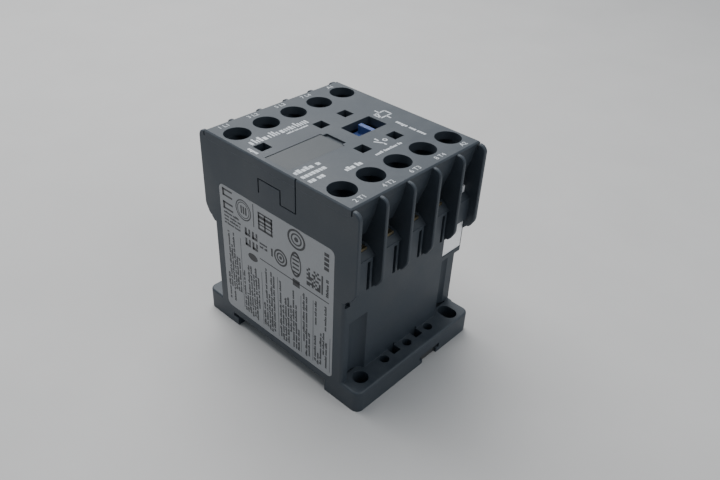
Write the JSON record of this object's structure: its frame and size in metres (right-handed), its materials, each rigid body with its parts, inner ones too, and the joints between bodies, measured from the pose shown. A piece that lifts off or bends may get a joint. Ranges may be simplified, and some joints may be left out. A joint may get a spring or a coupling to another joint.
{
  "type": "din rail contactor",
  "caption": "Compact magnetic contactor that clips to a 35 mm rail or screws to a panel, with screw terminals in two rows and an indicator window in its front.",
  "frame": {"origin": "middle of the base plane, where the flange meets the panel", "axes": "+X along the rail, +Y towards the line terminals (up on a wall), +Z away from the rail, out of the front face"},
  "size_m": [0.045, 0.058, 0.057],
  "materials": {
    "housing": "satin moulded, dark grey",
    "label": "satin printed label",
    "marker": "satin, grey",
    "bobbin": "satin, white",
    "carrier": "satin, blue",
    "rail_clip": "satin, dark grey",
    "copper": "enamelled copper",
    "brass": "pressed brass",
    "silver": "silver alloy",
    "magnet_steel": "laminated steel",
    "spring_steel": "drawn wire",
    "plated_steel": "zinc plated",
    "rubber": "matt"
  },
  "bodies": {
    "housing": {"base_housing": "housing", "line_contact_housing": "housing", "load_contact_housing": "housing", "front_cover": "housing", "side_label": "label", "marker_plate": "marker", "coil_bobbin": "bobbin", "coil_winding": "copper", "fixed_core": "magnet_steel", "shading_rings": "copper", "core_cushion": "rubber", "core_pin": "spring_steel", "return_springs": "spring_steel", "fixed_contact_tips": "silver", "din_clip_spring": "spring_steel", "coil_terminals": "brass", "line_contact_1": "brass", "line_contact_2": "brass", "line_contact_3": "brass", "line_contact_4": "brass", "load_contact_1": "brass", "load_contact_2": "brass", "load_contact_3": "brass", "load_contact_4": "brass"},
    "carrier": {"contact_carrier": "carrier", "armature": "magnet_steel", "armature_pin": "spring_steel", "contact_spring_1": "spring_steel", "contact_spring_2": "spring_steel", "contact_spring_3": "spring_steel", "contact_spring_4": "spring_steel"},
    "rail_clip": {"din_clip": "rail_clip"},
    "bridge_1": {"moving_bridge_1": "brass", "bridge_tips_1": "silver"},
    "bridge_2": {"moving_bridge_2": "brass", "bridge_tips_2": "silver"},
    "bridge_3": {"moving_bridge_3": "brass", "bridge_tips_3": "silver"},
    "bridge_4": {"moving_bridge_4": "brass", "bridge_tips_4": "silver"},
    "line_clamp_body_1": {"line_clamp_1": "plated_steel"},
    "line_screw_body_1": {"line_screw_1": "plated_steel"},
    "line_clamp_body_2": {"line_clamp_2": "plated_steel"},
    "line_screw_body_2": {"line_screw_2": "plated_steel"},
    "line_clamp_body_3": {"line_clamp_3": "plated_steel"},
    "line_screw_body_3": {"line_screw_3": "plated_steel"},
    "line_clamp_body_4": {"line_clamp_4": "plated_steel"},
    "line_screw_body_4": {"line_screw_4": "plated_steel"},
    "line_clamp_body_5": {"line_clamp_5": "plated_steel"},
    "line_screw_body_5": {"line_screw_5": "plated_steel"},
    "load_clamp_body_1": {"load_clamp_1": "plated_steel"},
    "load_screw_body_1": {"load_screw_1": "plated_steel"},
    "load_clamp_body_2": {"load_clamp_2": "plated_steel"},
    "load_screw_body_2": {"load_screw_2": "plated_steel"},
    "load_clamp_body_3": {"load_clamp_3": "plated_steel"},
    "load_screw_body_3": {"load_screw_3": "plated_steel"},
    "load_clamp_body_4": {"load_clamp_4": "plated_steel"},
    "load_screw_body_4": {"load_screw_4": "plated_steel"},
    "load_clamp_body_5": {"load_clamp_5": "plated_steel"},
    "load_screw_body_5": {"load_screw_5": "plated_steel"}
  },
  "joints": [
    {"name": "carrier_slide", "type": "slide", "parent": "housing", "child": "carrier", "axis": [0, 0, -1], "range_m": [0, 0.0039], "stiffness_N_per_m": 600, "springref_m": -0.005, "deforming": ["return_springs"]},
    {"name": "rail_clip_slide", "type": "slide", "parent": "housing", "child": "rail_clip", "axis": [0, -1, 0], "range_m": [0, 0.002], "stiffness_N_per_m": 2000, "springref_m": -0.001, "deforming": ["din_clip_spring"]},
    {"name": "bridge_1_lift", "type": "slide", "parent": "carrier", "child": "bridge_1", "axis": [0, 0, 1], "range_m": [0, 0.001], "deforming": ["contact_spring_1"]},
    {"name": "bridge_2_lift", "type": "slide", "parent": "carrier", "child": "bridge_2", "axis": [0, 0, 1], "range_m": [0, 0.001], "deforming": ["contact_spring_2"]},
    {"name": "bridge_3_lift", "type": "slide", "parent": "carrier", "child": "bridge_3", "axis": [0, 0, 1], "range_m": [0, 0.001], "deforming": ["contact_spring_3"]},
    {"name": "bridge_4_lift", "type": "slide", "parent": "carrier", "child": "bridge_4", "axis": [0, 0, 1], "range_m": [0, 0.001], "deforming": ["contact_spring_4"]},
    {"name": "line_clamp_1_slide", "type": "slide", "parent": "housing", "child": "line_clamp_body_1", "axis": [0, 0, -1], "range_m": [0, 0.00288]},
    {"name": "line_screw_1_turn", "type": "hinge", "parent": "line_clamp_body_1", "child": "line_screw_body_1", "pos_m": [-0.018, 0.0174, 0.0485], "axis": [0, 0, -1], "range_deg": [0, 1728]},
    {"name": "line_clamp_2_slide", "type": "slide", "parent": "housing", "child": "line_clamp_body_2", "axis": [0, 0, -1], "range_m": [0, 0.00288]},
    {"name": "line_screw_2_turn", "type": "hinge", "parent": "line_clamp_body_2", "child": "line_screw_body_2", "pos_m": [-0.009, 0.0174, 0.0485], "axis": [0, 0, -1], "range_deg": [0, 1728]},
    {"name": "line_clamp_3_slide", "type": "slide", "parent": "housing", "child": "line_clamp_body_3", "axis": [0, 0, -1], "range_m": [0, 0.00288]},
    {"name": "line_screw_3_turn", "type": "hinge", "parent": "line_clamp_body_3", "child": "line_screw_body_3", "pos_m": [0, 0.0174, 0.0485], "axis": [0, 0, -1], "range_deg": [0, 1728]},
    {"name": "line_clamp_4_slide", "type": "slide", "parent": "housing", "child": "line_clamp_body_4", "axis": [0, 0, -1], "range_m": [0, 0.00288]},
    {"name": "line_screw_4_turn", "type": "hinge", "parent": "line_clamp_body_4", "child": "line_screw_body_4", "pos_m": [0.009, 0.0174, 0.0485], "axis": [0, 0, -1], "range_deg": [0, 1728]},
    {"name": "line_clamp_5_slide", "type": "slide", "parent": "housing", "child": "line_clamp_body_5", "axis": [0, 0, -1], "range_m": [0, 0.00288]},
    {"name": "line_screw_5_turn", "type": "hinge", "parent": "line_clamp_body_5", "child": "line_screw_body_5", "pos_m": [0.018, 0.0179, 0.0485], "axis": [0, 0, -1], "range_deg": [0, 1728]},
    {"name": "load_clamp_1_slide", "type": "slide", "parent": "housing", "child": "load_clamp_body_1", "axis": [0, 0, -1], "range_m": [0, 0.00288]},
    {"name": "load_screw_1_turn", "type": "hinge", "parent": "load_clamp_body_1", "child": "load_screw_body_1", "pos_m": [-0.018, -0.0174, 0.0485], "axis": [0, 0, -1], "range_deg": [0, 1728]},
    {"name": "load_clamp_2_slide", "type": "slide", "parent": "housing", "child": "load_clamp_body_2", "axis": [0, 0, -1], "range_m": [0, 0.00288]},
    {"name": "load_screw_2_turn", "type": "hinge", "parent": "load_clamp_body_2", "child": "load_screw_body_2", "pos_m": [-0.009, -0.0174, 0.0485], "axis": [0, 0, -1], "range_deg": [0, 1728]},
    {"name": "load_clamp_3_slide", "type": "slide", "parent": "housing", "child": "load_clamp_body_3", "axis": [0, 0, -1], "range_m": [0, 0.00288]},
    {"name": "load_screw_3_turn", "type": "hinge", "parent": "load_clamp_body_3", "child": "load_screw_body_3", "pos_m": [0, -0.0174, 0.0485], "axis": [0, 0, -1], "range_deg": [0, 1728]},
    {"name": "load_clamp_4_slide", "type": "slide", "parent": "housing", "child": "load_clamp_body_4", "axis": [0, 0, -1], "range_m": [0, 0.00288]},
    {"name": "load_screw_4_turn", "type": "hinge", "parent": "load_clamp_body_4", "child": "load_screw_body_4", "pos_m": [0.009, -0.0174, 0.0485], "axis": [0, 0, -1], "range_deg": [0, 1728]},
    {"name": "load_clamp_5_slide", "type": "slide", "parent": "housing", "child": "load_clamp_body_5", "axis": [0, 0, -1], "range_m": [0, 0.00288]},
    {"name": "load_screw_5_turn", "type": "hinge", "parent": "load_clamp_body_5", "child": "load_screw_body_5", "pos_m": [0.018, -0.0179, 0.0485], "axis": [0, 0, -1], "range_deg": [0, 1728]}
  ],
  "couplings": [
    {"joint": "bridge_1_lift", "follows": "carrier_slide", "ratio": 0.2564},
    {"joint": "bridge_2_lift", "follows": "carrier_slide", "ratio": 0.2564},
    {"joint": "bridge_3_lift", "follows": "carrier_slide", "ratio": 0.2564},
    {"joint": "bridge_4_lift", "follows": "carrier_slide", "ratio": 0.2564},
    {"joint": "line_screw_1_turn", "follows": "line_clamp_1_slide", "rad_per_m": 10472},
    {"joint": "line_screw_2_turn", "follows": "line_clamp_2_slide", "rad_per_m": 10472},
    {"joint": "line_screw_3_turn", "follows": "line_clamp_3_slide", "rad_per_m": 10472},
    {"joint": "line_screw_4_turn", "follows": "line_clamp_4_slide", "rad_per_m": 10472},
    {"joint": "line_screw_5_turn", "follows": "line_clamp_5_slide", "rad_per_m": 10472},
    {"joint": "load_screw_1_turn", "follows": "load_clamp_1_slide", "rad_per_m": 10472},
    {"joint": "load_screw_2_turn", "follows": "load_clamp_2_slide", "rad_per_m": 10472},
    {"joint": "load_screw_3_turn", "follows": "load_clamp_3_slide", "rad_per_m": 10472},
    {"joint": "load_screw_4_turn", "follows": "load_clamp_4_slide", "rad_per_m": 10472},
    {"joint": "load_screw_5_turn", "follows": "load_clamp_5_slide", "rad_per_m": 10472}
  ]
}
